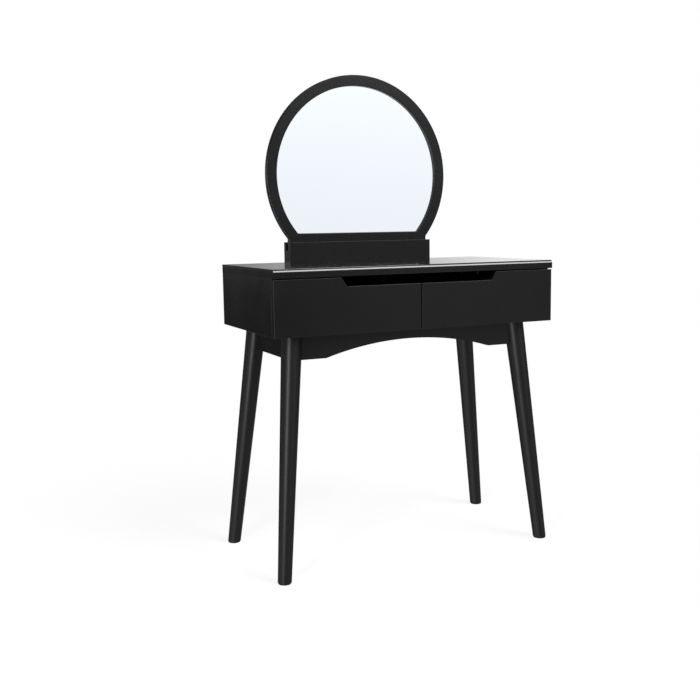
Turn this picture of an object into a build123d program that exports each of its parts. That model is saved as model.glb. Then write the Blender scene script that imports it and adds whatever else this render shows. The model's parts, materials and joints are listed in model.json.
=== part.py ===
from build123d import *
import math
import os

os.makedirs("parts", exist_ok=True)

# --- driving dimensions, millimetres ---------------------------------------------------------
# Frame: +Z up from the floor, X along the width, the front faces -Y, origin under the middle.

# table top and case
TOP_W = 800.0
TOP_D = 400.0
TOP_Z = 775.0
TOP_T = 22.0
NOSE_R = 8.0
EDGE_R = 1.0
PANEL_T = 15.0
BACK_T = 12.0
CASE_Z0 = 611.0
DIVIDER_NOTCH_D = 200.0
DIVIDER_NOTCH_H = 33.0

# drawer fronts
FRONT_SETBACK = 3.0
FRONT_T = 15.0
FRONT_GAP = 3.0
FRONT_REST = 1.0
GRIP_DROP = 22.0
GRIP_HALF_LOW = 208.0
GRIP_HALF_HIGH = 222.0

# drawer boxes
RUNNER_GAP = 12.5
BOX_T = 12.0
BOX_L = 340.0
BOX_Z0 = 630.0
BOX_H = 90.0
BOX_BOTTOM_Z = 640.0
BOX_BOTTOM_T = 4.0
GROOVE = 6.0

# roller runners
STEEL_T = 1.2
RUNNER_L = 350.0
TRACK_Z = 655.0
TRACK_W = 8.6
ROLLER_R = 9.0
ROLLER_W = 7.4
ROLLER_GAP = 0.3
ROLLER_BORE_R = 2.55
PIN_R = 2.5
PIN_HEAD_R = 4.5
PIN_HEAD_T = 0.8
CHANNEL_W = 9.5
CHANNEL_HEADROOM = 0.8
CASE_ROLLER_INSET = 12.0
BOX_ROLLER_INSET = 18.0

# base frame
LEG_R_TOP = 26.4
LEG_R_FOOT = 17.5
LEG_TOP_X = 327.4
LEG_TOP_Y_FRONT = -123.9
LEG_TOP_Y_REAR = 138.5
LEG_RUN = 78.7
SPLAY_FRONT = 45.7
SPLAY_REAR = 26.0
FOOT_CHAMFER = 1.0
APRON_T = 16.0
APRON_Z0 = 546.0
FRONT_APRON_Y = -136.0
REAR_APRON_Y = 146.5
SIDE_APRON_X = 336.0
ARCH_HALF = 240.0
ARCH_RISE = 35.5
BLOCK_U0 = 27.2
BLOCK_T = 18.0
BLOCK_Z0 = 551.0
BOLT_Z = 580.0
BOLT_R = 4.0
BOLT_DEPTH = 12.0
BOLT_STICKOUT = 12.0
NUT_ACROSS = 13.0
NUT_T = 6.5
WASHER_R = 9.0
WASHER_T = 1.6
HOLE_CLEARANCE = 0.1

# mirror
MIRROR_Z = 1016.0
RING_R = 278.0
RING_INNER_R = 248.0
FRAME_T = 15.0
RING_ARRIS = 2.0
FOOT_HALF = 216.0
GLASS_EDGE_Z = 855.5
LIP_T = 8.0
LIP_W = 8.0
GLASS_T = 3.0
BACKING_T = 4.0
GLASS_PLAY = 0.5
BASE_HALF = 221.0
BASE_H = 56.5
BASE_T = 15.0
SLOT_W = 15.4
SLOT_DEPTH = 23.5
BASE_Y0 = 148.3

# screws, locks and clips
SCREW_R = 2.0
SCREW_HEAD_R = 4.0
SCREW_HEAD_H = 3.0
CAM_R = 7.5
CAM_T = 12.0
CAM_SET = 25.0
CAM_BOLT_R = 3.0
CAM_BOLT_IN = 11.0
CLIP_T = 1.0
CLIP_L = 24.0
CLIP_W = 12.0
CLIP_ANGLES = (-25.0, 30.0, 90.0, 150.0, 205.0)

# --- derived positions -----------------------------------------------------------------------
HALF_W = TOP_W / 2
HALF_D = TOP_D / 2
CASE_Z1 = TOP_Z - TOP_T
FRONT_Y0 = -HALF_D + FRONT_SETBACK
FRONT_Y1 = FRONT_Y0 + FRONT_T
CASE_Y0 = FRONT_Y1 + FRONT_REST
BACK_Y0 = HALF_D - BACK_T
INNER_X = HALF_W - PANEL_T
FLOOR_Z = CASE_Z0 + PANEL_T
FRONT_Z1 = CASE_Z1 - FRONT_GAP
BAY_CENTRE = (INNER_X + PANEL_T / 2) / 2
BAY_HALF = (INNER_X - PANEL_T / 2) / 2
BOX_HALF = BAY_HALF - RUNNER_GAP
BOX_Y1 = FRONT_Y1 + BOX_L
BOX_Z1 = BOX_Z0 + BOX_H
ROLLER_Z = TRACK_Z - ROLLER_GAP - ROLLER_R
CHANNEL_Z0 = ROLLER_Z - ROLLER_R - ROLLER_GAP - STEEL_T
CHANNEL_Z1 = TRACK_Z + STEEL_T + CHANNEL_HEADROOM + STEEL_T
CASE_ROLLER_Y = CASE_Y0 + CASE_ROLLER_INSET
BOX_ROLLER_Y = BOX_Y1 - BOX_ROLLER_INSET
SLOT_Y0 = BASE_Y0 + BASE_T
SLOT_Y1 = SLOT_Y0 + SLOT_W
FRAME_Y0 = SLOT_Y0 + (SLOT_W - FRAME_T) / 2
FRAME_Y1 = FRAME_Y0 + FRAME_T
BASE_Z1 = TOP_Z + BASE_H
SLOT_Z = BASE_Z1 - SLOT_DEPTH

ON_FLOOR = (Align.CENTER, Align.CENTER, Align.MIN)


def slab(x0, x1, y0, y1, z0, z1):
    """Block between two corners."""
    centre = Pos((x0 + x1) / 2, (y0 + y1) / 2, (z0 + z1) / 2)
    return centre * Box(x1 - x0, y1 - y0, z1 - z0)


def rod(start, direction, radius, length):
    """Round rod from a start point along a direction."""
    return Plane(origin=start, z_dir=direction) * Cylinder(radius, length, align=ON_FLOOR)


def edges_at(part, axis, value):
    """Edges that lie whole in one plane across an axis."""
    kept = []
    for edge in part.edges():
        box = edge.bounding_box()
        low = getattr(box.min, axis)
        high = getattr(box.max, axis)
        if abs(low - value) < 1e-4 and abs(high - value) < 1e-4:
            kept.append(edge)
    return kept


def save(part, name):
    """Write one sub-part."""
    part.label = name
    export_step(part, "parts/" + name + ".step")
    print(name, round(part.volume), len(part.solids()))


# --- case ------------------------------------------------------------------------------------
def cam_places():
    """Lock centre, lock facing and bolt direction for every corner joint of the case."""
    places = []
    for side in (-1, 1):
        face = side * INNER_X
        for y in (CASE_Y0 + 45, BACK_Y0 - 45):
            places.append(((face, y, CASE_Z1 - CAM_SET), (side, 0, 0), (0, 0, 1)))
            low = (side * (INNER_X - CAM_SET), y, FLOOR_Z)
            places.append((low, (0, 0, -1), (side, 0, 0)))
    return places


def cam_lock(place, extra=0.0):
    centre, facing, _ = place
    return rod(centre, facing, CAM_R + extra, CAM_T)


def cam_bolt(place, extra=0.0):
    centre, facing, way = place
    depth = CAM_T / 2
    start = [centre[i] + facing[i] * depth + way[i] * (CAM_R + 2 * HOLE_CLEARANCE) for i in range(3)]
    length = CAM_SET + CAM_BOLT_IN - CAM_R
    return rod(tuple(start), way, CAM_BOLT_R + extra, length)


def cut_cams(part):
    for place in cam_places():
        part = part - cam_lock(place, HOLE_CLEARANCE) - cam_bolt(place, HOLE_CLEARANCE)
    return part


def top_board():
    """Flat board with a rounded front nose and softened ends."""
    board = slab(-HALF_W, HALF_W, -HALF_D, HALF_D, CASE_Z1, TOP_Z)
    nose = [e for e in edges_at(board, "Y", -HALF_D) if abs(e.center().Z - TOP_Z) < 1e-4]
    board = fillet(nose, NOSE_R)
    under = [e for e in edges_at(board, "Z", CASE_Z1) if abs(e.center().Y + HALF_D) < 1e-4]
    board = fillet(under, EDGE_R)
    rear = [e for e in edges_at(board, "Z", TOP_Z) if abs(e.center().Y - HALF_D) < 1e-4]
    board = fillet(rear, EDGE_R)
    for screw in mirror_base_screw_list(HOLE_CLEARANCE):
        board = board - screw
    return cut_cams(board)


def side_panel(side):
    x0, x1 = sorted((side * INNER_X, side * HALF_W))
    panel = slab(x0, x1, CASE_Y0, HALF_D, CASE_Z0, CASE_Z1)
    outer = [e for e in edges_at(panel, "X", side * HALF_W) if e.center().Z < CASE_Z1 - 1]
    panel = fillet(outer, EDGE_R)
    return cut_cams(panel)


def bottom_panel():
    panel = slab(-INNER_X, INNER_X, CASE_Y0, BACK_Y0, CASE_Z0, FLOOR_Z)
    for screw in frame_screw_list(HOLE_CLEARANCE):
        panel = panel - screw
    return cut_cams(panel)


def back_panel():
    return slab(-INNER_X, INNER_X, BACK_Y0, HALF_D, CASE_Z0, CASE_Z1)


def centre_divider():
    """Upright between the drawers, notched behind the finger grip."""
    half = PANEL_T / 2
    wall = slab(-half, half, CASE_Y0, BACK_Y0, FLOOR_Z, CASE_Z1)
    notch_z = CASE_Z1 - DIVIDER_NOTCH_H
    notch_y = CASE_Y0 + DIVIDER_NOTCH_D
    return wall - slab(-PANEL_T, PANEL_T, CASE_Y0 - 1, notch_y, notch_z, CASE_Z1 + 1)


# --- drawers ---------------------------------------------------------------------------------
def drawer_front(side):
    """Overlay front with half of the shared finger grip cut from its inner top corner."""
    grip_z = FRONT_Z1 - GRIP_DROP
    inner = FRONT_GAP / 2
    outline = Polyline(
        (inner, CASE_Z0),
        (HALF_W, CASE_Z0),
        (HALF_W, FRONT_Z1),
        (GRIP_HALF_HIGH, FRONT_Z1),
        (GRIP_HALF_LOW, grip_z),
        (inner, grip_z),
        close=True,
    )
    face = Plane(origin=(0, FRONT_Y1, 0), x_dir=(1, 0, 0), z_dir=(0, -1, 0)) * make_face(outline)
    board = extrude(face, FRONT_T)
    board = fillet(edges_at(board, "Y", FRONT_Y0), EDGE_R)
    groove = slab(
        BAY_CENTRE - BOX_HALF + GROOVE,
        BAY_CENTRE + BOX_HALF - GROOVE,
        FRONT_Y1 - GROOVE,
        FRONT_Y1 + 1,
        BOX_BOTTOM_Z,
        BOX_BOTTOM_Z + BOX_BOTTOM_T,
    )
    board = board - groove
    if side < 0:
        board = mirror(board, about=Plane.YZ)
    return board


def drawer_side(side, hand):
    """Box side, grooved for the bottom; hand -1 is its left wall, +1 its right wall."""
    centre = side * BAY_CENTRE
    x_out = centre + hand * BOX_HALF
    x_in = centre + hand * (BOX_HALF - BOX_T)
    x0, x1 = sorted((x_out, x_in))
    wall = slab(x0, x1, FRONT_Y1, BOX_Y1, BOX_Z0, BOX_Z1)
    g0, g1 = sorted((x_in - hand, x_in + hand * GROOVE))
    groove = slab(g0, g1, FRONT_Y1 - 1, BOX_Y1 + 1, BOX_BOTTOM_Z, BOX_BOTTOM_Z + BOX_BOTTOM_T)
    return wall - groove


def drawer_back(side):
    centre = side * BAY_CENTRE
    half = BOX_HALF - BOX_T
    z0 = BOX_BOTTOM_Z + BOX_BOTTOM_T
    return slab(centre - half, centre + half, BOX_Y1 - BOX_T, BOX_Y1, z0, BOX_Z1)


def drawer_bottom(side):
    centre = side * BAY_CENTRE
    half = BOX_HALF - BOX_T + GROOVE
    z1 = BOX_BOTTOM_Z + BOX_BOTTOM_T
    return slab(centre - half, centre + half, FRONT_Y1 - GROOVE, BOX_Y1, BOX_BOTTOM_Z, z1)


def axle(wall_x, inward, y):
    """Headed pin standing out of a runner's web."""
    reach = ROLLER_W + 3 * ROLLER_GAP
    shaft = rod((wall_x, y, ROLLER_Z), (inward, 0, 0), PIN_R, reach)
    head = rod((wall_x + inward * reach, y, ROLLER_Z), (inward, 0, 0), PIN_HEAD_R, PIN_HEAD_T)
    return shaft + head


def roller(wall_x, inward, y):
    """Nylon wheel on its pin."""
    start = wall_x + inward * 1.5 * ROLLER_GAP
    wheel = rod((start, y, ROLLER_Z), (inward, 0, 0), ROLLER_R, ROLLER_W)
    bore = rod((start - inward, y, ROLLER_Z), (inward, 0, 0), ROLLER_BORE_R, ROLLER_W + 2)
    return wheel - bore


def case_runners(side):
    """Pair of C channels screwed to the bay's walls, each with its front roller pin."""
    pair = []
    for hand in (-1, 1):
        wall = side * BAY_CENTRE + hand * BAY_HALF
        web = wall - hand * STEEL_T
        lip = wall - hand * CHANNEL_W
        y1 = CASE_Y0 + RUNNER_L
        w0, w1 = sorted((wall, web))
        f0, f1 = sorted((wall, lip))
        upright = slab(w0, w1, CASE_Y0, y1, CHANNEL_Z0, CHANNEL_Z1)
        lower = slab(f0, f1, CASE_Y0, y1, CHANNEL_Z0, CHANNEL_Z0 + STEEL_T)
        upper = slab(f0, f1, CASE_Y0, y1, CHANNEL_Z1 - STEEL_T, CHANNEL_Z1)
        pair.append(upright + lower + upper + axle(web, -hand, CASE_ROLLER_Y))
    return Compound(children=pair)


def case_rollers(side):
    pair = []
    for hand in (-1, 1):
        web = side * BAY_CENTRE + hand * (BAY_HALF - STEEL_T)
        pair.append(roller(web, -hand, CASE_ROLLER_Y))
    return Compound(children=pair)


def box_runners(side):
    """Pair of angle members that wrap the box's lower edges and carry the track."""
    pair = []
    for hand in (-1, 1):
        wall = side * BAY_CENTRE + hand * BOX_HALF
        skin = wall + hand * STEEL_T
        foot = wall - hand * (BOX_T - 1)
        track = wall + hand * (STEEL_T + TRACK_W)
        w0, w1 = sorted((wall, skin))
        b0, b1 = sorted((skin, foot))
        t0, t1 = sorted((wall, track))
        upright = slab(w0, w1, FRONT_Y1, BOX_Y1, BOX_Z0 - STEEL_T, TRACK_Z + STEEL_T)
        under = slab(b0, b1, FRONT_Y1, BOX_Y1, BOX_Z0 - STEEL_T, BOX_Z0)
        top = slab(t0, t1, FRONT_Y1, BOX_Y1, TRACK_Z, TRACK_Z + STEEL_T)
        pair.append(upright + under + top + axle(skin, hand, BOX_ROLLER_Y))
    return Compound(children=pair)


def box_rollers(side):
    pair = []
    for hand in (-1, 1):
        skin = side * BAY_CENTRE + hand * (BOX_HALF + STEEL_T)
        pair.append(roller(skin, hand, BOX_ROLLER_Y))
    return Compound(children=pair)


# --- base frame ------------------------------------------------------------------------------
def leg_line(hand, row):
    """Top and foot centres of one leg; row -1 is the front pair, +1 the rear pair."""
    top_y = LEG_TOP_Y_FRONT if row < 0 else LEG_TOP_Y_REAR
    splay = math.radians(SPLAY_FRONT if row < 0 else SPLAY_REAR)
    foot_x = LEG_TOP_X + LEG_RUN * math.cos(splay)
    foot_y = top_y + row * LEG_RUN * math.sin(splay)
    return Vector(hand * LEG_TOP_X, top_y, CASE_Z0), Vector(hand * foot_x, foot_y, 0)


def leg_blank(hand, row):
    """Straight taper along the splayed axis, cut level at the case and at the floor."""
    top, foot = leg_line(hand, row)
    over = 40.0
    axis = (top - foot).normalized()
    slope = (LEG_R_TOP - LEG_R_FOOT) / CASE_Z0
    start = foot - axis * over
    length = (top - foot).length + 2 * over
    r0 = LEG_R_FOOT - slope * over
    r1 = LEG_R_TOP + slope * over
    taper = Plane(origin=start, z_dir=axis) * Cone(r0, r1, length, align=ON_FLOOR)
    return taper & slab(-500, 500, -500, 500, 0, CASE_Z0)


def diagonal(hand, row):
    """Unit vector from a leg towards the middle of the table."""
    return Vector(-hand, -row, 0).normalized()


def leg_bolt(hand, row, extra=0.0):
    """Hanger bolt from the leg through its corner block, with washer and nut."""
    top, foot = leg_line(hand, row)
    share = (CASE_Z0 - BOLT_Z) / CASE_Z0
    centre = top + (foot - top) * share
    way = diagonal(hand, row)
    across = Vector(-way.Y, way.X, 0)
    drift = (centre - top).dot(way)
    reach = BLOCK_U0 + BLOCK_T - drift
    start = centre - way * BOLT_DEPTH
    shaft = rod(start, way, BOLT_R + extra, BOLT_DEPTH + reach + BOLT_STICKOUT)
    if extra > 0:
        return shaft
    seat = centre + way * reach
    washer = rod(seat, way, WASHER_R, WASHER_T)
    nut_plane = Plane(origin=seat + way * WASHER_T, x_dir=across, z_dir=way)
    hexagon = RegularPolygon(radius=NUT_ACROSS / math.sqrt(3), side_count=6)
    return shaft + washer + extrude(nut_plane * hexagon, NUT_T)


def leg(hand, row):
    part = leg_blank(hand, row)
    part = chamfer(edges_at(part, "Z", 0.0), FOOT_CHAMFER)
    return part - leg_bolt(hand, row, HOLE_CLEARANCE)


def front_apron():
    """Rail with flat low ends and a round arch between them, coped to the legs."""
    z_low = APRON_Z0
    outline = Polyline(
        (ARCH_HALF, z_low),
        (LEG_TOP_X, z_low),
        (LEG_TOP_X, CASE_Z0),
        (-LEG_TOP_X, CASE_Z0),
        (-LEG_TOP_X, z_low),
        (-ARCH_HALF, z_low),
    )
    arch = ThreePointArc((-ARCH_HALF, z_low), (0, z_low + ARCH_RISE), (ARCH_HALF, z_low))
    face = make_face([*outline.edges(), arch])
    plane = Plane(origin=(0, FRONT_APRON_Y + APRON_T, 0), x_dir=(1, 0, 0), z_dir=(0, -1, 0))
    rail = extrude(plane * face, APRON_T)
    low_edges = [e for e in edges_at(rail, "Y", FRONT_APRON_Y) if e.center().Z < CASE_Z0 - 20]
    low_edges = [e for e in low_edges if abs(e.center().X) < LEG_TOP_X - 1]
    rail = fillet(low_edges, EDGE_R)
    return rail - leg_blank(-1, -1) - leg_blank(1, -1)


def rear_apron():
    rail = slab(-LEG_TOP_X, LEG_TOP_X, REAR_APRON_Y - APRON_T, REAR_APRON_Y, APRON_Z0, CASE_Z0)
    return rail - leg_blank(-1, 1) - leg_blank(1, 1)


def side_apron(hand):
    x0, x1 = sorted((hand * SIDE_APRON_X, hand * (SIDE_APRON_X - APRON_T)))
    rail = slab(x0, x1, LEG_TOP_Y_FRONT, LEG_TOP_Y_REAR, APRON_Z0, CASE_Z0)
    low = [e for e in edges_at(rail, "Z", APRON_Z0) if abs(e.center().X - hand * SIDE_APRON_X) < 1e-4]
    rail = fillet(low, EDGE_R)
    return rail - leg_blank(hand, -1) - leg_blank(hand, 1)


def corner_block(hand, row):
    """Diagonal block behind a leg, wedged between the two aprons."""
    top, _ = leg_line(hand, row)
    way = diagonal(hand, row)
    across = Vector(-way.Y, way.X, 0)
    plane = Plane(origin=(top.X, top.Y, BLOCK_Z0), x_dir=way, z_dir=(0, 0, 1))
    bar = Box(BLOCK_T, 160, CASE_Z0 - BLOCK_Z0, align=(Align.MIN, Align.CENTER, Align.MIN))
    bar = plane * Pos(BLOCK_U0, 0, 0) * bar
    x_face = SIDE_APRON_X - APRON_T
    y_face = FRONT_APRON_Y + APRON_T if row < 0 else REAR_APRON_Y - APRON_T
    x0, x1 = sorted((0, hand * x_face))
    y0, y1 = sorted((0, y_face))
    part = bar & slab(x0, x1, y0, y1, BLOCK_Z0, CASE_Z0)
    part = part - leg_bolt(hand, row, HOLE_CLEARANCE)
    for screw in frame_screw_list(HOLE_CLEARANCE):
        part = part - screw
    return part


def screw(seat, way, length, extra=0.0):
    """Countersunk screw whose flat head is level with the seat point."""
    head = Plane(origin=seat, z_dir=way) * Cone(
        SCREW_HEAD_R + extra, SCREW_R + extra, SCREW_HEAD_H, align=ON_FLOOR
    )
    return head + rod(seat, way, SCREW_R + extra, length)


def frame_screw_list(extra=0.0):
    """Two screws down through the case bottom into each corner block."""
    found = []
    for hand in (-1, 1):
        for row in (-1, 1):
            top, _ = leg_line(hand, row)
            way = diagonal(hand, row)
            across = Vector(-way.Y, way.X, 0)
            for offset in (-15.0, 15.0):
                spot = top + way * (BLOCK_U0 + BLOCK_T / 2) + across * offset
                found.append(screw((spot.X, spot.Y, FLOOR_Z), (0, 0, -1), 50.0, extra))
    return found


# --- mirror ----------------------------------------------------------------------------------
def base_board(y0, y1, z1):
    board = slab(-BASE_HALF, BASE_HALF, y0, y1, TOP_Z, z1)
    return board


def mirror_base_front():
    board = base_board(BASE_Y0, SLOT_Y0, BASE_Z1)
    edges = edges_at(board, "Y", BASE_Y0)
    edges = [e for e in edges if e.center().Z > TOP_Z + 1]
    return fillet(edges, EDGE_R)


def mirror_base_core():
    board = base_board(SLOT_Y0, SLOT_Y1, SLOT_Z)
    for item in mirror_base_screw_list(HOLE_CLEARANCE):
        board = board - item
    return board


def mirror_base_back():
    board = base_board(SLOT_Y1, SLOT_Y1 + BASE_T, BASE_Z1)
    edges = edges_at(board, "Y", SLOT_Y1 + BASE_T)
    edges = [e for e in edges if e.center().Z > TOP_Z + 1]
    board = fillet(edges, EDGE_R)
    for item in mirror_foot_screw_list(HOLE_CLEARANCE):
        board = board - item
    return board


def disc(radius, y0, y1, floor_z):
    """Upright disc cut level at its bottom."""
    round_part = rod((0, y0, MIRROR_Z), (0, 1, 0), radius, y1 - y0)
    return round_part & slab(-400, 400, y0 - 1, y1 + 1, floor_z, 1400)


def mirror_frame():
    """Ring with a level lower rail and a square foot, rebated behind for the glass."""
    ring = rod((0, FRAME_Y0, MIRROR_Z), (0, 1, 0), RING_R, FRAME_T)
    foot = slab(-FOOT_HALF, FOOT_HALF, FRAME_Y0, FRAME_Y1, SLOT_Z, GLASS_EDGE_Z - 5)
    blank = ring & slab(-400, 400, FRAME_Y0 - 1, FRAME_Y1 + 1, SLOT_Z, 1400)
    blank = blank + foot
    blank = blank - disc(RING_INNER_R, FRAME_Y0 - 1, FRAME_Y1 + 1, GLASS_EDGE_Z)
    face_edges = [e for e in edges_at(blank, "Y", FRAME_Y0) if e.center().Z > SLOT_Z + 1]
    blank = fillet(face_edges, RING_ARRIS)
    rebate = disc(RING_INNER_R + LIP_W, FRAME_Y0 + LIP_T, FRAME_Y1 + 1, GLASS_EDGE_Z - LIP_W)
    blank = blank - rebate
    for item in mirror_foot_screw_list(HOLE_CLEARANCE):
        blank = blank - item
    for item in clip_screw_list(HOLE_CLEARANCE):
        blank = blank - item
    return blank


def mirror_glass():
    y0 = FRAME_Y0 + LIP_T
    radius = RING_INNER_R + LIP_W - GLASS_PLAY
    return disc(radius, y0, y0 + GLASS_T, GLASS_EDGE_Z - LIP_W + GLASS_PLAY)


def mirror_backing():
    y0 = FRAME_Y0 + LIP_T + GLASS_T
    radius = RING_INNER_R + LIP_W - GLASS_PLAY
    return disc(radius, y0, y0 + BACKING_T, GLASS_EDGE_Z - LIP_W + GLASS_PLAY)


def clip_spots():
    """Point on the rebate's rim and outward direction for every clip."""
    rim = RING_INNER_R + LIP_W
    spots = []
    for angle in CLIP_ANGLES:
        turn = math.radians(angle)
        way = Vector(math.cos(turn), 0, math.sin(turn))
        spots.append((Vector(0, FRAME_Y1, MIRROR_Z) + way * rim, way))
    return spots


def backing_clips():
    clips = []
    for spot, way in clip_spots():
        plane = Plane(origin=spot, x_dir=way, z_dir=(0, 1, 0))
        plate = plane * Box(CLIP_L, CLIP_W, CLIP_T, align=ON_FLOOR)
        seat = spot + way * (CLIP_L / 4) + Vector(0, CLIP_T, 0)
        clips.append(plate - rod(seat, (0, -1, 0), SCREW_R + HOLE_CLEARANCE, CLIP_T + 1))
    return Compound(children=clips)


def clip_screw_list(extra=0.0):
    found = []
    for spot, way in clip_spots():
        seat = spot + way * (CLIP_L / 4) + Vector(0, CLIP_T, 0)
        shaft = rod(seat, (0, -1, 0), SCREW_R + extra, 10.0)
        if extra > 0:
            found.append(shaft)
        else:
            found.append(shaft + rod(seat, (0, 1, 0), SCREW_HEAD_R, 1.5))
    return found


def mirror_foot_screw_list(extra=0.0):
    """Screws from behind, through the back board into the frame's foot."""
    z = (SLOT_Z + BASE_Z1) / 2
    y = SLOT_Y1 + BASE_T
    return [screw((x, y, z), (0, -1, 0), 26.0, extra) for x in (-160.0, 0.0, 160.0)]


def mirror_base_screw_list(extra=0.0):
    """Screws from under the top board up into the base's core."""
    y = (SLOT_Y0 + SLOT_Y1) / 2
    return [screw((x, y, CASE_Z1), (0, 0, 1), 45.0, extra) for x in (-170.0, 60.0, 170.0)]


# --- write every sub-part --------------------------------------------------------------------
save(top_board(), "top_board")
save(side_panel(-1), "left_side_panel")
save(side_panel(1), "right_side_panel")
save(bottom_panel(), "bottom_panel")
save(back_panel(), "back_panel")
save(centre_divider(), "centre_divider")
save(Compound(children=[cam_lock(p) for p in cam_places()]), "cam_locks")
save(Compound(children=[cam_bolt(p) for p in cam_places()]), "cam_bolts")

for side, word in ((-1, "left"), (1, "right")):
    save(drawer_front(side), word + "_drawer_front")
    save(drawer_side(side, -1), word + "_drawer_left_wall")
    save(drawer_side(side, 1), word + "_drawer_right_wall")
    save(drawer_back(side), word + "_drawer_back")
    save(drawer_bottom(side), word + "_drawer_bottom")
    save(box_runners(side), word + "_drawer_runners")
    save(box_rollers(side), word + "_drawer_rollers")
    save(case_runners(side), word + "_case_runners")
    save(case_rollers(side), word + "_case_rollers")

save(front_apron(), "front_apron")
save(rear_apron(), "rear_apron")
save(side_apron(-1), "left_apron")
save(side_apron(1), "right_apron")
corners = []
for row, end in ((-1, "front"), (1, "rear")):
    for hand, word in ((-1, "left"), (1, "right")):
        save(leg(hand, row), end + "_" + word + "_leg")
        save(corner_block(hand, row), end + "_" + word + "_corner_block")
        corners.append(leg_bolt(hand, row))
save(Compound(children=corners), "leg_bolts")
save(Compound(children=frame_screw_list()), "frame_screws")

save(mirror_base_front(), "mirror_base_front")
save(mirror_base_core(), "mirror_base_core")
save(mirror_base_back(), "mirror_base_back")
save(mirror_frame(), "mirror_frame")
save(mirror_glass(), "mirror_glass")
save(mirror_backing(), "mirror_backing")
save(backing_clips(), "backing_clips")
save(Compound(children=clip_screw_list()), "clip_screws")
save(Compound(children=mirror_foot_screw_list()), "mirror_foot_screws")
save(Compound(children=mirror_base_screw_list()), "mirror_base_screws")
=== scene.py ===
import json
import math

import bpy
import numpy as np
from mathutils import Matrix, Vector


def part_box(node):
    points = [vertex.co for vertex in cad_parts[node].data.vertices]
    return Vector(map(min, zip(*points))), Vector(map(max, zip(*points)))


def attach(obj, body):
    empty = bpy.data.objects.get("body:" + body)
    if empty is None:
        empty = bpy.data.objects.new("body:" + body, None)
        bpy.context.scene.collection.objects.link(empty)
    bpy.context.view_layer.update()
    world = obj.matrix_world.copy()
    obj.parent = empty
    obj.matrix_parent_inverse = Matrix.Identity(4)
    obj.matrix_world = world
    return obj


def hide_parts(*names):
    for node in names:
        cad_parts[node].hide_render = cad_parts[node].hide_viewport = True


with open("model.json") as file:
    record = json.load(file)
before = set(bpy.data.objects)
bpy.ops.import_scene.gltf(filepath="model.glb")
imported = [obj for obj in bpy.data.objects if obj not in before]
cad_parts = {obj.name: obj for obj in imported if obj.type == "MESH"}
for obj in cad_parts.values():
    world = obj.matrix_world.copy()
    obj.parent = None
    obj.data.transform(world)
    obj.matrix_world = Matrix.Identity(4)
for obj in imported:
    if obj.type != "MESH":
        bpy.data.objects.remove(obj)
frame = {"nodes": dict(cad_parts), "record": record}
bpy.context.view_layer.update()

# camera: place in metres, angles in degrees, lens in millimetres on a 36 mm sensor
CAMERA_PLACE = (-1.1576, -2.2561, 0.8746)
CAMERA_HEADING = 24.405
CAMERA_DIP = 7.079
CAMERA_ROLL = -0.882
CAMERA_LENS = 47.88
CAMERA_SHIFT = (0.0108, -0.0122)


# --- node helpers ----------------------------------------------------------------------------
def add(tree, kind, **values):
    """New node of a kind; values that name an input are set on it, the others are properties."""
    node = tree.nodes.new(kind)
    for name, value in values.items():
        label = name.replace("_", " ")
        if label in node.inputs:
            node.inputs[label].default_value = value
        else:
            setattr(node, name, value)
    return node


def join(tree, source, target):
    """Link between two sockets."""
    tree.links.new(source, target)


def math_node(tree, operation, first, second=None, third=None):
    """Arithmetic on sockets or plain numbers."""
    node = add(tree, "ShaderNodeMath", operation=operation)
    for socket, value in zip(node.inputs, (first, second, third)):
        if value is None:
            continue
        if isinstance(value, (int, float)):
            socket.default_value = value
        else:
            join(tree, value, socket)
    return node.outputs[0]


def spread(tree, value, low, high, new_low=0.0, new_high=1.0, smooth=True):
    """Stretch of a value from one range to another, held at the ends."""
    node = add(tree, "ShaderNodeMapRange", clamp=True)
    node.interpolation_type = "SMOOTHSTEP" if smooth else "LINEAR"
    join(tree, value, node.inputs["Value"])
    node.inputs["From Min"].default_value = low
    node.inputs["From Max"].default_value = high
    node.inputs["To Min"].default_value = new_low
    node.inputs["To Max"].default_value = new_high
    return node.outputs["Result"]


def blend_colour(tree, share, first, second):
    """Mix of two colours by a mask."""
    node = add(tree, "ShaderNodeMix", data_type="RGBA")
    join(tree, share, node.inputs["Factor"])
    for socket, value in ((node.inputs[6], first), (node.inputs[7], second)):
        if isinstance(value, tuple):
            socket.default_value = (*value, 1.0)
        else:
            join(tree, value, socket)
    return node.outputs[2]


def new_group(name, inputs, outputs):
    """Empty shader group with named sockets; kinds are Float, Vector or Color."""
    group = bpy.data.node_groups.new(name, "ShaderNodeTree")
    for label, kind, value in inputs:
        socket = group.interface.new_socket(label, in_out="INPUT", socket_type="NodeSocket" + kind)
        if value is not None:
            socket.default_value = value
    for label, kind in outputs:
        group.interface.new_socket(label, in_out="OUTPUT", socket_type="NodeSocket" + kind)
    start = group.nodes.new("NodeGroupInput").outputs
    end = group.nodes.new("NodeGroupOutput").inputs
    return group, start, end


def noise(tree, vector, scale, detail=2.0, roughness=0.5, distortion=0.0):
    """Soft cloud pattern; scale is a number or a socket, in waves a metre."""
    node = add(tree, "ShaderNodeTexNoise", Detail=detail, Roughness=roughness, Distortion=distortion)
    join(tree, vector, node.inputs["Vector"])
    if isinstance(scale, (int, float)):
        node.inputs["Scale"].default_value = scale
    else:
        join(tree, scale, node.inputs["Scale"])
    return node.outputs["Fac"]


def stretched(tree, vector, scale):
    """Vector with each axis scaled by its own factor."""
    node = add(tree, "ShaderNodeMapping", vector_type="POINT", Scale=scale)
    join(tree, vector, node.inputs["Vector"])
    return node.outputs["Vector"]


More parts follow.
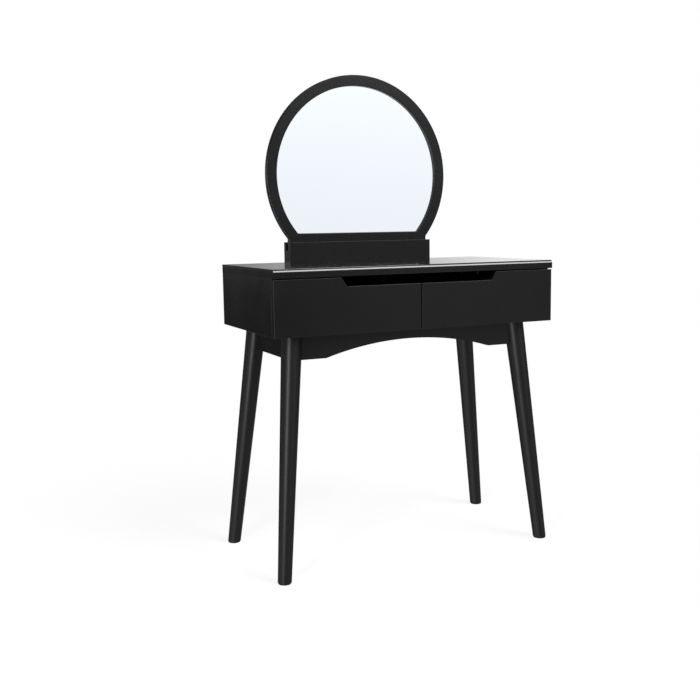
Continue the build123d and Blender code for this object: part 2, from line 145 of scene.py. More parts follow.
# --- shared effects --------------------------------------------------------------------------
def make_sprayed_film():
    """Sprayed coat: ripples a few millimetres wide, slow drift of gloss and fine settled dust."""
    group, start, end = new_group(
        "sprayed_film",
        [("Vector", "Vector", None), ("Ripple Scale", "Float", 260.0), ("Dust", "Float", 0.5)],
        [("Height", "Float"), ("Drift", "Float"), ("Speck", "Float")],
    )
    ripple = noise(group, start["Vector"], start["Ripple Scale"], detail=1.0)
    long_wave = noise(group, start["Vector"], 34.0, detail=0.0)
    total = math_node(group, "MULTIPLY_ADD", long_wave, 3.0, ripple)
    join(group, total, end["Height"])
    join(group, noise(group, start["Vector"], 7.0, detail=4.0, distortion=0.6), end["Drift"])
    cells = add(group, "ShaderNodeTexVoronoi", Scale=420.0)
    join(group, start["Vector"], cells.inputs["Vector"])
    grain = spread(group, cells.outputs["Distance"], 0.16, 0.06)
    chosen = add(group, "ShaderNodeSeparateColor")
    join(group, cells.outputs["Color"], chosen.inputs[0])
    rare = spread(group, chosen.outputs[0], 0.90, 0.94)
    speck = math_node(group, "MULTIPLY", grain, rare)
    join(group, math_node(group, "MULTIPLY", speck, start["Dust"]), end["Speck"])
    return group


def make_worn_arris():
    """Rub marks on sharp edges: where a rounded normal leaves the true one, broken up by noise."""
    group, start, end = new_group(
        "worn_arris",
        [("Vector", "Vector", None), ("Radius", "Float", 0.0012), ("Break Up", "Float", 60.0)],
        [("Mask", "Float")],
    )
    bevel = add(group, "ShaderNodeBevel", samples=4)
    join(group, start["Radius"], bevel.inputs["Radius"])
    true_normal = add(group, "ShaderNodeNewGeometry").outputs["Normal"]
    dot = add(group, "ShaderNodeVectorMath", operation="DOT_PRODUCT")
    join(group, bevel.outputs[0], dot.inputs[0])
    join(group, true_normal, dot.inputs[1])
    edge = spread(group, dot.outputs["Value"], 0.99, 0.80)
    patch = noise(group, start["Vector"], start["Break Up"], detail=4.0, roughness=0.65)
    patch = spread(group, patch, 0.42, 0.66)
    join(group, math_node(group, "MULTIPLY", edge, patch), end["Mask"])
    return group


def make_wood_grain():
    """Long fibres along Z: fine pores, wandering growth bands and short rays."""
    group, start, end = new_group(
        "wood_grain",
        [("Vector", "Vector", None), ("Band Scale", "Float", 60.0)],
        [("Fibre", "Float"), ("Band", "Float"), ("Pore", "Float")],
    )
    drawn = stretched(group, start["Vector"], (1.0, 1.0, 0.035))
    join(group, noise(group, drawn, 900.0, detail=3.0, roughness=0.7), end["Fibre"])
    slow = stretched(group, start["Vector"], (1.0, 1.0, 0.07))
    wander = noise(group, slow, 14.0, detail=2.0)
    bend = math_node(group, "MULTIPLY", wander, 3.2)
    parts = add(group, "ShaderNodeSeparateXYZ")
    join(group, slow, parts.inputs[0])
    across = math_node(group, "MULTIPLY_ADD", parts.outputs["X"], 1.0, parts.outputs["Y"])
    waves = math_node(group, "MULTIPLY", across, start["Band Scale"])
    phase = math_node(group, "ADD", waves, bend)
    ring = math_node(group, "PINGPONG", phase, 0.5)
    join(group, spread(group, ring, 0.05, 0.5), end["Band"])
    dots = add(group, "ShaderNodeTexVoronoi", Scale=700.0)
    join(group, stretched(group, start["Vector"], (1.0, 1.0, 0.05)), dots.inputs["Vector"])
    join(group, spread(group, dots.outputs["Distance"], 0.22, 0.08), end["Pore"])
    return group


FILM = make_sprayed_film()
ARRIS = make_worn_arris()
GRAIN = make_wood_grain()


def place_group(tree, group, vector, **values):
    """Group node fed with a vector and its own values."""
    node = add(tree, "ShaderNodeGroup")
    node.node_tree = group
    for name, value in values.items():
        node.inputs[name.replace("_", " ")].default_value = value
    join(tree, vector, node.inputs["Vector"])
    return node.outputs


def new_finish(name, **values):
    """Material with one Principled shader; constant values go straight on its sockets."""
    material = bpy.data.materials.new(name)
    material.use_nodes = True
    tree = material.node_tree
    shader = tree.nodes["Principled BSDF"]
    for label, value in values.items():
        shader.inputs[label.replace("_", " ")].default_value = value
    vector = add(tree, "ShaderNodeTexCoord").outputs["Object"]
    return material, tree, shader, vector


def bump(tree, shader, height, distance):
    """Height into the shader's normal; distance is in metres."""
    node = add(tree, "ShaderNodeBump", Strength=1.0, Distance=distance)
    join(tree, height, node.inputs["Height"])
    join(tree, node.outputs["Normal"], shader.inputs["Normal"])


# --- finishes --------------------------------------------------------------------------------
# The top's polished coat fades out between two levels on its rounded nose.
TOP_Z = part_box("top_board")[1][2]
COAT_LOW = TOP_Z - 0.0075
COAT_HIGH = TOP_Z - 0.0055
COAT_ROUGHNESS = 0.07
BLACK = (0.0017, 0.0017, 0.0017)
RUBBED = (0.016, 0.015, 0.014)
DUST = (0.05, 0.049, 0.047)
LACQUER_SHINE = 0.17
LEG_SHINE = 0.16
FOIL_SHINE = 0.15
ARRIS_RADIUS = 0.0012
DUST_DULLING = 0.25
RUB_DULLING = 0.12
PANEL_RIPPLE = 0.000008
TOP_RIPPLE = 0.000006
LEG_RIPPLE = 0.00003
PLAIN_RIPPLE = 0.00002
PINE_RELIEF = 0.0001
SILVER = (0.90, 0.95, 0.995, 1.0)
DRIFT_RANGE = (0.3, 0.7)
PANEL_ROUGH = 0.25
TOP_ROUGH = 0.20
LEG_ROUGH = (0.34, 0.42)
PINE_ROUGH = (0.62, 0.78)


def black_lacquer(name, base_rough, ripple, dust, wear, polished=False):
    """Satin black lacquer on fibreboard; the top also has a polished clear coat down to its nose."""
    material, tree, shader, vector = new_finish(name, Specular_IOR_Level=LACQUER_SHINE)
    if polished:
        parts = add(tree, "ShaderNodeSeparateXYZ")
        join(tree, vector, parts.inputs[0])
        coat = spread(tree, parts.outputs["Z"], COAT_LOW, COAT_HIGH)
        join(tree, coat, shader.inputs["Coat Weight"])
        shader.inputs["Coat Roughness"].default_value = COAT_ROUGHNESS
    film = place_group(tree, FILM, vector, Dust=dust)
    worn = place_group(tree, ARRIS, vector, Radius=ARRIS_RADIUS)["Mask"]
    worn = math_node(tree, "MULTIPLY", worn, wear)
    colour = blend_colour(tree, worn, BLACK, RUBBED)
    colour = blend_colour(tree, film["Speck"], colour, DUST)
    join(tree, colour, shader.inputs["Base Color"])
    low, high = base_rough - 0.025, base_rough + 0.035
    rough = spread(tree, film["Drift"], *DRIFT_RANGE, low, high, smooth=False)
    rough = math_node(tree, "MULTIPLY_ADD", film["Speck"], DUST_DULLING, rough)
    rough = math_node(tree, "MULTIPLY_ADD", worn, RUB_DULLING, rough)
    join(tree, rough, shader.inputs["Roughness"])
    bump(tree, shader, film["Height"], ripple)
    return material


def leg_lacquer():
    """Satin black lacquer on turned hardwood: the grain shows through as long shallow lines."""
    material, tree, shader, vector = new_finish("leg lacquer", Specular_IOR_Level=LEG_SHINE)
    along = add(tree, "ShaderNodeAttribute", attribute_name="turned").outputs["Vector"]
    grain = place_group(tree, GRAIN, along, Band_Scale=45.0)
    film = place_group(tree, FILM, vector, Dust=0.4)
    worn = place_group(tree, ARRIS, vector, Radius=ARRIS_RADIUS)["Mask"]
    colour = blend_colour(tree, math_node(tree, "MULTIPLY", worn, 0.6), BLACK, RUBBED)
    colour = blend_colour(tree, film["Speck"], colour, DUST)
    join(tree, colour, shader.inputs["Base Color"])
    rough = spread(tree, grain["Fibre"], *DRIFT_RANGE, *LEG_ROUGH, smooth=False)
    rough = math_node(tree, "MULTIPLY_ADD", film["Speck"], DUST_DULLING, rough)
    join(tree, rough, shader.inputs["Roughness"])
    lines = math_node(tree, "MULTIPLY_ADD", grain["Pore"], -0.6, grain["Fibre"])
    height = math_node(tree, "MULTIPLY_ADD", film["Height"], 0.3, lines)
    bump(tree, shader, height, LEG_RIPPLE)
    return material


def plain_finish(name, colour, second, rough, scale, **values):
    """Mottled finish from two near colours."""
    material, tree, shader, vector = new_finish(name, **values)
    film = place_group(tree, FILM, vector, Ripple_Scale=scale, Dust=0.3)
    join(tree, blend_colour(tree, film["Drift"], colour, second), shader.inputs["Base Color"])
    roughness = spread(tree, film["Drift"], *DRIFT_RANGE, rough - 0.04, rough + 0.04, smooth=False)
    join(tree, roughness, shader.inputs["Roughness"])
    bump(tree, shader, film["Height"], PLAIN_RIPPLE)
    return material


def silvered_glass():
    """Mirror: pale silver with the faintest smear of cleaning marks."""
    material, tree, shader, vector = new_finish("silvered glass", Metallic=1.0)
    smear = noise(tree, stretched(tree, vector, (3.0, 1.0, 1.0)), 5.0, detail=3.0, distortion=1.2)
    rough = spread(tree, smear, 0.45, 0.75, 0.004, 0.02)
    join(tree, rough, shader.inputs["Roughness"])
    shader.inputs["Base Color"].default_value = SILVER
    return material


def sawn_pine():
    """Bare pine with growth bands and pores along Z."""
    material, tree, shader, vector = new_finish("sawn pine")
    grain = place_group(tree, GRAIN, vector, Band_Scale=110.0)
    colour = blend_colour(tree, grain["Band"], (0.60, 0.43, 0.25), (0.42, 0.26, 0.12))
    pale = math_node(tree, "MULTIPLY", grain["Fibre"], 0.35)
    colour = blend_colour(tree, pale, colour, (0.72, 0.58, 0.38))
    join(tree, colour, shader.inputs["Base Color"])
    rough = spread(tree, grain["Fibre"], *DRIFT_RANGE, *PINE_ROUGH, smooth=False)
    join(tree, rough, shader.inputs["Roughness"])
    bump(tree, shader, grain["Fibre"], PINE_RELIEF)
    return material


PANEL = black_lacquer("panel lacquer", PANEL_ROUGH, PANEL_RIPPLE, dust=0.5, wear=0.5)
TOP = black_lacquer("table top lacquer", TOP_ROUGH, TOP_RIPPLE, dust=0.8, wear=0.5, polished=True)
LEG = leg_lacquer()
# Drawer foil colours, set darker than the foil itself: painted shade for the drawer insides seen
# through the grips.
FOIL_SHADED_DARK = (0.007, 0.007, 0.0075)
FOIL_SHADED_LIGHT = (0.010, 0.010, 0.0105)
SHADED_FOIL = plain_finish("drawer foil with painted shade", FOIL_SHADED_DARK, FOIL_SHADED_LIGHT, 0.55, 900.0, Specular_IOR_Level=FOIL_SHINE)
HARDBOARD = plain_finish("hardboard", (0.20, 0.115, 0.058), (0.29, 0.18, 0.10), 0.6, 700.0)
EPOXY = plain_finish("epoxy coated steel", (0.016, 0.016, 0.017), (0.024, 0.024, 0.025), 0.40, 1200.0)
NYLON = plain_finish("white nylon", (0.74, 0.74, 0.71), (0.68, 0.68, 0.64), 0.42, 500.0)
ZINC = plain_finish("bright zinc", (0.64, 0.65, 0.66), (0.52, 0.53, 0.55), 0.32, 900.0, Metallic=1.0)
GLASS = silvered_glass()
PINE = sawn_pine()

FINISH_OF_SLOT = {
    "panel_lacquer": PANEL,
    "leg_lacquer": LEG,
    "bare_wood": PINE,
    "drawer_foil": SHADED_FOIL,
    "hardboard": HARDBOARD,
    "mirror_glass": GLASS,
    "runner_steel": EPOXY,
    "nylon": NYLON,
    "zinc_steel": ZINC,
}


def dress_frame():
    """Give every carried-over node the finish of its slot, and two of them a finish of their own."""
    for name, node in frame["nodes"].items():
        for holder in node.material_slots:
            base = holder.material.name.split(".")[0]
            holder.material = FINISH_OF_SLOT[base]
    frame["nodes"]["top_board"].material_slots[0].material = TOP
    # The divider takes the drawer foil with its painted shade.
    frame["nodes"]["centre_divider"].material_slots[0].material = SHADED_FOIL


# --- new pieces ------------------------------------------------------------------------------
def ring_faces(rows, columns, wrap=False):
    """Quads between neighbouring rows of a grid; its columns close round, and its rows if wrapped."""
    row = np.arange(rows if wrap else rows - 1)[:, None]
    column = np.arange(columns)[None, :]
    above = (row + 1) % rows
    beside = (column + 1) % columns
    near = (row * columns + column, row * columns + beside)
    far = (above * columns + beside, above * columns + column)
    return np.stack(near + far, -1).reshape(-1, 4)


def closed_grid(points, wrap=False):
    """Points on a rows x columns x 3 grid as a closed skin; its end rows are capped unless wrapped."""
    rows, columns = points.shape[:2]
    faces = ring_faces(rows, columns, wrap).tolist()
    if not wrap:
        faces.append(list(range(columns - 1, -1, -1)))
        faces.append(list(range((rows - 1) * columns, rows * columns)))
    return points.reshape(-1, 3), faces


def gather(skins):
    """Several skins as one list of points and one of faces."""
    points = []
    faces = []
    start = 0
    for skin_points, skin_faces in skins:
        points.append(skin_points)
        faces += [[start + corner for corner in face] for face in skin_faces]
        start += len(skin_points)
    return np.vstack(points), faces


def new_piece(name, skin, material, stands_for, crease=35.0):
    """Mesh object for a skin with the given finish; it rides with the body of, and hides, the CAD node
    it stands for.
    """
    points, faces = skin
    mesh = bpy.data.meshes.new(name)
    mesh.from_pydata(points.tolist(), [], faces)
    mesh.polygons.foreach_set("use_smooth", np.ones(len(faces), dtype=bool))
    mesh.set_sharp_from_angle(angle=math.radians(crease))
    mesh.materials.append(material)
    piece = bpy.data.objects.new(name, mesh)
    bpy.context.scene.collection.objects.link(piece)
    body = next(b for b, nodes in frame["record"]["behaviour"]["bodies"].items() if stands_for in nodes)
    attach(piece, body)
    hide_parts(stands_for)
    return piece


SLOT_HALF_W = 0.0004
SLOT_HALF_L = 0.0019
SLOT_EDGE = 0.00018
HEAD_DEPTH = 0.0005


def slot_step(gap):
    """Soft step from nought outside a slot's edge to one inside it."""
    return np.clip(gap / SLOT_EDGE + 0.5, 0.0, 1.0)


def turned(profile, origin, way, columns=64, recess=0.0):
    """Grid of a profile turned about an axis.

    A profile point of radius r and height h, at angle a, lies at
    origin + h way + r (cos a across + sin a up), with across, up and way at right angles.
    Points of the head inside the cross sink by the recess: two crossed slots, each the product of
    one soft step across its width and one along its length.
    """
    way = np.array(way, float) / np.linalg.norm(way)
    across = np.cross([0.0, 0.0, 1.0] if abs(way[2]) < 0.9 else [0.0, 1.0, 0.0], way)
    across /= np.linalg.norm(across)
    up = np.cross(way, across)
    radius, height = np.array(profile, float).T
    angle = np.linspace(0.0, 2 * np.pi, columns, endpoint=False)
    u = radius[:, None] * np.cos(angle)
    v = radius[:, None] * np.sin(angle)
    h = np.broadcast_to(height[:, None], u.shape).copy()
    if recess:
        slot_u = slot_step(SLOT_HALF_W - np.abs(u)) * slot_step(SLOT_HALF_L - np.abs(v))
        slot_v = slot_step(SLOT_HALF_W - np.abs(v)) * slot_step(SLOT_HALF_L - np.abs(u))
        face = (height > -HEAD_DEPTH)[:, None]
        h -= recess * np.maximum(slot_u, slot_v) * face
    return np.array(origin) + h[..., None] * way + u[..., None] * across + v[..., None] * up


LEG_R_TOP = 0.0264
LEG_R_FOOT = 0.0175
GLIDE_LEVELS = (0.0, 0.3, 1.6, 2.0, 2.1, 2.3, 2.8, 3.6)
GLIDE_INSETS = (1.6, 1.2, 1.2, 1.3, 2.2, 0.7, 0.2, 0.0)
PLAIN_ROWS = 60
LEG_COLUMNS = 96
GRAIN_STEP = 0.3
LEGS = ("front_left_leg", "front_right_leg", "rear_left_leg", "rear_right_leg")


def node_points(name):
    """Corner places of a carried-over node."""
    mesh = frame["nodes"][name].data
    places = np.empty(len(mesh.vertices) * 3)
    mesh.vertices.foreach_get("co", places)
    return places.reshape(-1, 3)


def leg_centre(points, height):
    """Middle of a leg's outline at one level."""
    level = points[np.abs(points[:, 2] - height) < 1e-5]
    return (level.min(0) + level.max(0)) / 2


def turned_leg(name, number):
    """Round taper along the leaning axis, cut level at both ends.

    The radius changes evenly from the foot to the case. For each level z and angle a the distance s
    along the axis solves z = foot + s * rise + r(s) * sin(a) * lean, so every row is level. The lowest
    rows are a glide under a shadow gap, and the foot's arris is rounded. The attribute "turned" holds
    the place in the leg's own axes, moved on for each leg so that no two have the same grain.
    """
    points = node_points(name)
    case_z = points[:, 2].max()
    foot = leg_centre(points, 0.0)
    top = leg_centre(points, case_z)
    length = np.linalg.norm(top - foot)
    axis = (top - foot) / length
    across = np.cross([0.0, 0.0, 1.0], axis)
    across /= np.linalg.norm(across)
    lean = np.cross(axis, across)
    low_z = np.array(GLIDE_LEVELS) * 0.001
    low_in = np.array(GLIDE_INSETS) * 0.001
    levels = np.concatenate([low_z, np.linspace(0.006, case_z, PLAIN_ROWS)])
    inset = np.concatenate([low_in, np.zeros(PLAIN_ROWS)])
    angle = np.linspace(0.0, 2 * np.pi, LEG_COLUMNS, endpoint=False)
    z, a = np.meshgrid(levels, angle, indexing="ij")
    slope = (LEG_R_TOP - LEG_R_FOOT) / length
    start = LEG_R_FOOT - inset[:, None]
    along = (z - start * lean[2] * np.sin(a)) / (axis[2] + slope * lean[2] * np.sin(a))
    radius = start + slope * along
    u = radius * np.cos(a)
    v = radius * np.sin(a)
    grid = foot + along[..., None] * axis + u[..., None] * across + v[..., None] * lean
    grid[..., 2] = z
    piece = new_piece(name + "_turned", closed_grid(grid), LEG, name)
    follow = piece.data.attributes.new("turned", "FLOAT_VECTOR", "POINT")
    own = np.stack([u + GRAIN_STEP * number, v, along], -1)
    follow.data.foreach_set("vector", own.reshape(-1).astype(np.float32))


WHEEL_W = 0.0074
WHEEL_FACE = [(9.0, 0.5), (8.9, 0.15), (8.6, 0.0), (7.2, 0.0), (7.0, 0.2), (6.9, 1.0), (6.6, 1.3)]
WHEEL_FACE += [(4.6, 1.3), (4.3, 1.0), (4.2, 0.2), (4.0, 0.0), (2.75, 0.0), (2.55, 0.2)]


def moulded_wheels(name):
    """Two nylon wheels on one axis: a treaded rim, a sunk web on both faces, a hub and a bore."""
    low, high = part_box(name)
    face = np.array(WHEEL_FACE) * 0.001
    near = face[::-1]
    far = np.stack([face[:, 0], WHEEL_W - face[:, 1]], -1)
    profile = np.vstack([near, far])
    middle = [(low[i] + high[i]) / 2 for i in range(3)]
    skins = []
    for x in (low[0], high[0] - WHEEL_W):
        wheel = turned(profile, (x, middle[1], middle[2]), (1, 0, 0), 72)
        skins.append(closed_grid(wheel, wrap=True))
    new_piece(name + "_moulded", gather(skins), NYLON, name)


def head_rows(count, reach, crown, rim):
    """Face of a screw head from its middle out: a shallow crown, flatter towards the rim."""
    share = np.linspace(0.02, 1.0, count)
    return [(reach * q, crown - (crown - rim) * q ** 2.4) for q in share]


def pan_screw(seat, way):
    """Round-headed screw with a cross recess, its shank behind the seat."""
    rows = head_rows(22, 0.0036, 0.00150, 0.00115)
    rows += [(0.0039, 0.00085), (0.0040, 0.0005), (0.0040, 0.0)]
    rows += [(0.0020, 0.0), (0.0020, -0.009), (0.0004, -0.010)]
    return closed_grid(turned(rows[::-1], seat, way, recess=0.0009))


def flat_screw(seat, way):
    """Countersunk screw, its face a hair under the wood, with a cross recess."""
    rows = head_rows(22, 0.0037, -0.0001, -0.00005)
    rows += [(0.0040, -0.0002), (0.0040, -0.0004), (0.0020, -0.003), (0.0020, -0.024), (0.0004, -0.026)]
    return closed_grid(turned(rows[::-1], seat, way, recess=0.0013))


CLIP_ANGLES = (-25.0, 30.0, 90.0, 150.0, 205.0)
CLIP_T = 0.001
CLIP_HALF = (0.012, 0.006)
GLASS_PLAY = 0.0005


def clip_places():
    """Rim point and outward direction of every clip behind the mirror."""
    low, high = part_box("mirror_glass")
    rim = (high[0] - low[0]) / 2 + GLASS_PLAY
    centre = np.array([0.0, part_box("backing_clips")[0][1], high[2] - (high[0] - low[0]) / 2])
    turns = np.radians(CLIP_ANGLES)
    ways = np.stack([np.cos(turns), 0 * turns, np.sin(turns)], -1)
    return centre + ways * rim, ways


def spring_clips():
    """Pressed plates with rounded ends and a raised rib.

    The outline is |x|^4 + |y|^4 = 1 stretched to the plate's half sizes. Rows shrink it towards the
    middle, and each row has its own height above the wood.
    """
    angle = np.linspace(0.0, 2 * np.pi, 48, endpoint=False)
    bulge = (np.abs(np.cos(angle)) ** 4 + np.abs(np.sin(angle)) ** 4) ** -0.25
    x = bulge * np.cos(angle) * CLIP_HALF[0]
    y = bulge * np.sin(angle) * CLIP_HALF[1]
    rows = np.array([
        (0.05, 0.0), (0.96, 0.0), (1.0, 0.1), (1.0, 0.85), (0.96, 1.0), (0.74, 1.0), (0.68, 1.25),
        (0.60, 1.35), (0.50, 1.25), (0.44, 1.0), (0.05, 1.0),
    ])
    skins = []
    for spot, way in zip(*clip_places()):
        side = np.cross([0.0, 1.0, 0.0], way)
        flat = rows[:, 0, None, None] * (x[:, None] * way + y[:, None] * side)
        rise = rows[:, 1, None, None] * CLIP_T * np.array([0.0, 1.0, 0.0])
        skins.append(closed_grid(spot + flat + rise))
    new_piece("backing_clips_pressed", gather(skins), ZINC, "backing_clips")


FLAT_HEAD_R = 0.004


def mirror_screws():
    """A round-headed screw through every clip, and a level row of countersunk ones in the base."""
    spots, ways = clip_places()
    seats = spots + ways * CLIP_HALF[0] / 2 + np.array([0.0, CLIP_T, 0.0])
    screws = [pan_screw(seat, (0.0, 1.0, 0.0)) for seat in seats]
    new_piece("clip_screws_driven", gather(screws), ZINC, "clip_screws")
    low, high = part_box("mirror_foot_screws")
    reach = (high[0] - low[0]) / 2 - FLAT_HEAD_R
    z = (low[2] + high[2]) / 2
    screws = [flat_screw((x, high[1], z), (0.0, 1.0, 0.0)) for x in (-reach, 0.0, reach)]
    new_piece("mirror_foot_screws_driven", gather(screws), ZINC, "mirror_foot_screws")


def detailed_pieces():
    """Every finer piece that stands for a carried-over node."""
    for number, name in enumerate(LEGS):
        turned_leg(name, number)
    for side in ("left", "right"):
        moulded_wheels(side + "_drawer_rollers")
        moulded_wheels(side + "_case_rollers")
    spring_clips()
    mirror_screws()


# --- studio ----------------------------------------------------------------------------------
FLOOR_R = 4.0
FLOOR_RINGS = 8
FLOOR_TURNS = 64
FADE_RADII = (0.5, 1.6)
FADE_SHARES = (0.86, 1.0)


def studio_floor():
    """Level white disc; its shading fades into plain white towards its rim.

    Gloss does not see it: reflections of the ground come from the room's own levels instead.
    """
    rings = np.linspace(0.0, 1.0, FLOOR_RINGS + 1)[1:] * FLOOR_R
    turns = np.linspace(0.0, 2 * np.pi, FLOOR_TURNS, endpoint=False)
    radius, turn = np.meshgrid(rings, turns, indexing="ij")
    points = np.stack([radius * np.cos(turn), radius * np.sin(turn), 0 * radius], -1).reshape(-1, 3)
    points = np.vstack([points, [[0.0, 0.0, 0.0]]])
    count, around = radius.shape
    near = np.arange(around)
    far = (near + 1) % around
    faces = [
        (int(r * around + a), int((r + 1) * around + a), int((r + 1) * around + b), int(r * around + b))
        for r in range(count - 1)
        for a, b in zip(near, far)
    ]
    centre = len(points) - 1
    faces += [(centre, int(a), int(b)) for a, b in zip(near, far)]
    mesh = bpy.data.meshes.new("studio_floor")
    mesh.from_pydata(points.tolist(), [], faces)
    floor = bpy.data.objects.new("studio_floor", mesh)
    bpy.context.scene.collection.objects.link(floor)
    material = bpy.data.materials.new("studio floor white")
    material.use_nodes = True
    tree = material.node_tree
    tree.nodes.clear()
    vector = add(tree, "ShaderNodeTexCoord").outputs["Object"]
    length = add(tree, "ShaderNodeVectorMath", operation="LENGTH")
    join(tree, vector, length.inputs[0])
    paint = add(tree, "ShaderNodeBsdfDiffuse", Color=(0.80, 0.80, 0.80, 1.0))
    glow = add(tree, "ShaderNodeEmission", Color=(1.0, 1.0, 1.0, 1.0), Strength=1.0)
    share = spread(tree, length.outputs["Value"], *FADE_RADII, *FADE_SHARES)
    mix = add(tree, "ShaderNodeMixShader")
    join(tree, share, mix.inputs[0])
    join(tree, paint.outputs[0], mix.inputs[1])
    join(tree, glow.outputs[0], mix.inputs[2])
    out = add(tree, "ShaderNodeOutputMaterial")
    join(tree, mix.outputs[0], out.inputs["Surface"])
    mesh.materials.append(material)
    floor.visible_glossy = False


# Brightness round the table by bearing: degrees from the front, the table's left positive.
# WALLS is level with the eye, GROUND just below it, FLOOR_GLOW lower still and UPPER just above it.
WALLS = (
    (-180, 0.16),
    (-166, 0.16),
    (-156, 0.44),
    (-143, 0.95),
    (-125, 0.90),
    (-108, 0.30),
    (-90, 0.12),
    (-70, 0.30),
    (-50, 0.85),
    (-35, 0.98),
    (0, 0.95),
    (45, 0.90),
    (98, 0.70),
    (130, 0.85),
    (146, 0.90),
    (165, 0.65),
)
GROUND = (
    (-180, 0.10),
    (-150, 0.35),
    (-125, 0.30),
    (-95, 0.12),
    (-60, 0.40),
    (-38, 0.62),
    (-29, 1.15),
    (-20, 0.22),
    (-5, 0.30),
    (33, 0.80),
    (42, 5.50),
    (53, 5.50),
    (63, 1.40),
    (98, 1.00),
    (124, 0.70),
    (140, 0.05),
    (165, 0.05),
)
FLOOR_GLOW = (
    (-180, 0.30),
    (-100, 0.50),
    (-60, 0.90),
    (-38, 1.10),
    (0, 1.20),
    (30, 1.60),
    (50, 2.80),
    (80, 2.50),
    (110, 1.90),
    (135, 0.60),
    (165, 0.20),
)
UPPER = (
    (-180, 0.12),
    (-95, 0.12),
    (-60, 0.50),
    (-42, 1.00),
    (-12, 1.00),
    (15, 0.60),
    (60, 0.50),
    (105, 0.20),
    (140, 0.12),
)
CEILING = 0.30
KEY = 10.0
KEY_BOUNCES = 2.5
LOW_TINT = (0.96, 0.96, 0.96)
HIGH_TINT = (1.06, 1.06, 1.06)

# Soft borders between the zones: heights are sines of the angle above level, bearings in radians.
FLOOR_BORDER = (-0.15, -0.23)
HORIZON = (-0.033, -0.008)
UPPER_BORDER = (0.09, 0.16)
CEILING_BORDER = (0.50, 0.80)
TINT_BORDER = (-0.02, 0.16)
KEY_NEAR = (-0.20, -0.38)
KEY_FAR = (-1.30, -0.72)
KEY_LOW = (0.21, 0.30)
KEY_HIGH = (0.92, 0.80)

LAMP_PLACE = (-2.0, -1.6, 1.20)
LAMP_AIM = (0.0, 0.0, 1.20)
LAMP_SIZE = (0.5, 2.3)
LAMP_LEVEL = 20.0


def bearing_ramp(tree, share, levels):
    """Brightness by bearing, eased between the listed levels."""
    ramp = add(tree, "ShaderNodeValToRGB")
    ramp.color_ramp.interpolation = "EASE"
    stops = ramp.color_ramp.elements
    while len(stops) < len(levels):
        stops.new(0.5)
    for stop, (angle, level) in zip(stops, levels):
        stop.position = angle / 360 + 0.5
        stop.color = (level, level, level, 1.0)
    join(tree, share, ramp.inputs[0])
    return ramp.outputs[0]


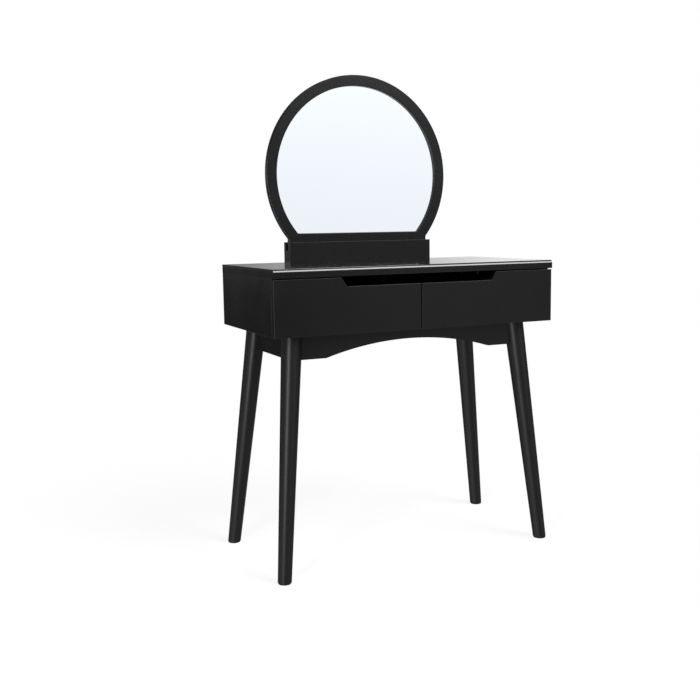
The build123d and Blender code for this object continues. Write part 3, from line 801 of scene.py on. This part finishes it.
def studio_room():
    """Plain white for the camera; cards and flags all round for light and reflections.

    The key is a raised card on the table's right. It is left out of rays that have bounced more than
    once, so that the mirror does not throw it back on the top a second time. Background light counts
    as one ray more than its bounces, which is why the limit lies between two and three.
    """
    world = bpy.data.worlds.new("studio")
    bpy.context.scene.world = world
    world.use_nodes = True
    tree = world.node_tree
    tree.nodes.clear()
    direction = add(tree, "ShaderNodeTexCoord").outputs["Generated"]
    parts = add(tree, "ShaderNodeSeparateXYZ")
    join(tree, direction, parts.inputs[0])
    left = math_node(tree, "MULTIPLY", parts.outputs["X"], -1.0)
    front = math_node(tree, "MULTIPLY", parts.outputs["Y"], -1.0)
    bearing = math_node(tree, "ARCTAN2", left, front)
    share = math_node(tree, "MULTIPLY_ADD", bearing, 0.5 / math.pi, 0.5)
    height = parts.outputs["Z"]
    walls = bearing_ramp(tree, share, WALLS)
    ground = bearing_ramp(tree, share, GROUND)
    glow = bearing_ramp(tree, share, FLOOR_GLOW)
    upper = bearing_ramp(tree, share, UPPER)
    ground = blend_colour(tree, spread(tree, height, *FLOOR_BORDER), ground, glow)
    level = blend_colour(tree, spread(tree, height, *HORIZON), ground, walls)
    level = blend_colour(tree, spread(tree, height, *UPPER_BORDER), level, upper)
    level = blend_colour(tree, spread(tree, height, *CEILING_BORDER), level, (CEILING,) * 3)
    near_edge = spread(tree, bearing, *KEY_NEAR)
    far_edge = spread(tree, bearing, *KEY_FAR)
    right_side = math_node(tree, "MULTIPLY", near_edge, far_edge)
    low_edge = spread(tree, height, *KEY_LOW)
    high_edge = spread(tree, height, *KEY_HIGH)
    raised = math_node(tree, "MULTIPLY", low_edge, high_edge)
    path = add(tree, "ShaderNodeLightPath").outputs
    first = math_node(tree, "LESS_THAN", path["Ray Depth"], KEY_BOUNCES)
    key = math_node(tree, "MULTIPLY", math_node(tree, "MULTIPLY", right_side, raised), KEY)
    key = math_node(tree, "MULTIPLY", key, first)
    lit = add(tree, "ShaderNodeMix", data_type="RGBA", blend_type="ADD")
    lit.inputs["Factor"].default_value = 1.0
    join(tree, level, lit.inputs[6])
    join(tree, key, lit.inputs[7])
    level = lit.outputs[2]
    tint = add(tree, "ShaderNodeMix", data_type="RGBA", blend_type="MULTIPLY")
    tint.inputs["Factor"].default_value = 1.0
    join(tree, level, tint.inputs[6])
    sky_tint = blend_colour(tree, spread(tree, height, *TINT_BORDER), LOW_TINT, HIGH_TINT)
    join(tree, sky_tint, tint.inputs[7])
    room = add(tree, "ShaderNodeBackground", Strength=1.0)
    join(tree, tint.outputs[2], room.inputs["Color"])
    backdrop = add(tree, "ShaderNodeBackground", Color=(1.0, 1.0, 1.0, 1.0), Strength=1.0)
    mix = add(tree, "ShaderNodeMixShader")
    join(tree, path["Is Camera Ray"], mix.inputs[0])
    join(tree, room.outputs[0], mix.inputs[1])
    join(tree, backdrop.outputs[0], mix.inputs[2])
    out = add(tree, "ShaderNodeOutputWorld")
    join(tree, mix.outputs[0], out.inputs["Surface"])


def softbox(name, place, aim, size, level):
    """Flat soft light facing a point; level is its brightness beside the white backdrop."""
    lamp = bpy.data.lights.new(name, "AREA")
    lamp.shape = "RECTANGLE"
    lamp.size, lamp.size_y = size
    lamp.energy = level * math.pi * size[0] * size[1]
    holder = bpy.data.objects.new(name, lamp)
    bpy.context.scene.collection.objects.link(holder)
    holder.location = place
    holder.rotation_euler = (Vector(aim) - Vector(place)).to_track_quat("-Z", "Y").to_euler()
    holder.visible_camera = False


def place_camera():
    """Camera to the left of the front, looking slightly down at the table."""
    heading, dip, roll = (math.radians(a) for a in (CAMERA_HEADING, CAMERA_DIP, CAMERA_ROLL))
    level = math.cos(dip)
    ahead = Vector((math.sin(heading) * level, math.cos(heading) * level, -math.sin(dip)))
    right = Vector((math.cos(heading), -math.sin(heading), 0.0))
    up = right.cross(ahead)
    leaning_right = math.cos(roll) * right + math.sin(roll) * up
    leaning_up = math.cos(roll) * up - math.sin(roll) * right
    turn = Matrix((leaning_right, leaning_up, -ahead)).transposed().to_4x4()
    camera = bpy.data.objects.new("camera", bpy.data.cameras.new("camera"))
    camera.data.lens = CAMERA_LENS
    camera.data.sensor_width = 36.0
    camera.data.shift_x, camera.data.shift_y = CAMERA_SHIFT
    camera.matrix_world = Matrix.Translation(CAMERA_PLACE) @ turn
    bpy.context.scene.collection.objects.link(camera)
    bpy.context.scene.camera = camera


dress_frame()
detailed_pieces()
studio_floor()
studio_room()
softbox("left_softbox", LAMP_PLACE, LAMP_AIM, LAMP_SIZE, LAMP_LEVEL)
place_camera()
bpy.context.scene.view_settings.view_transform = "Standard"
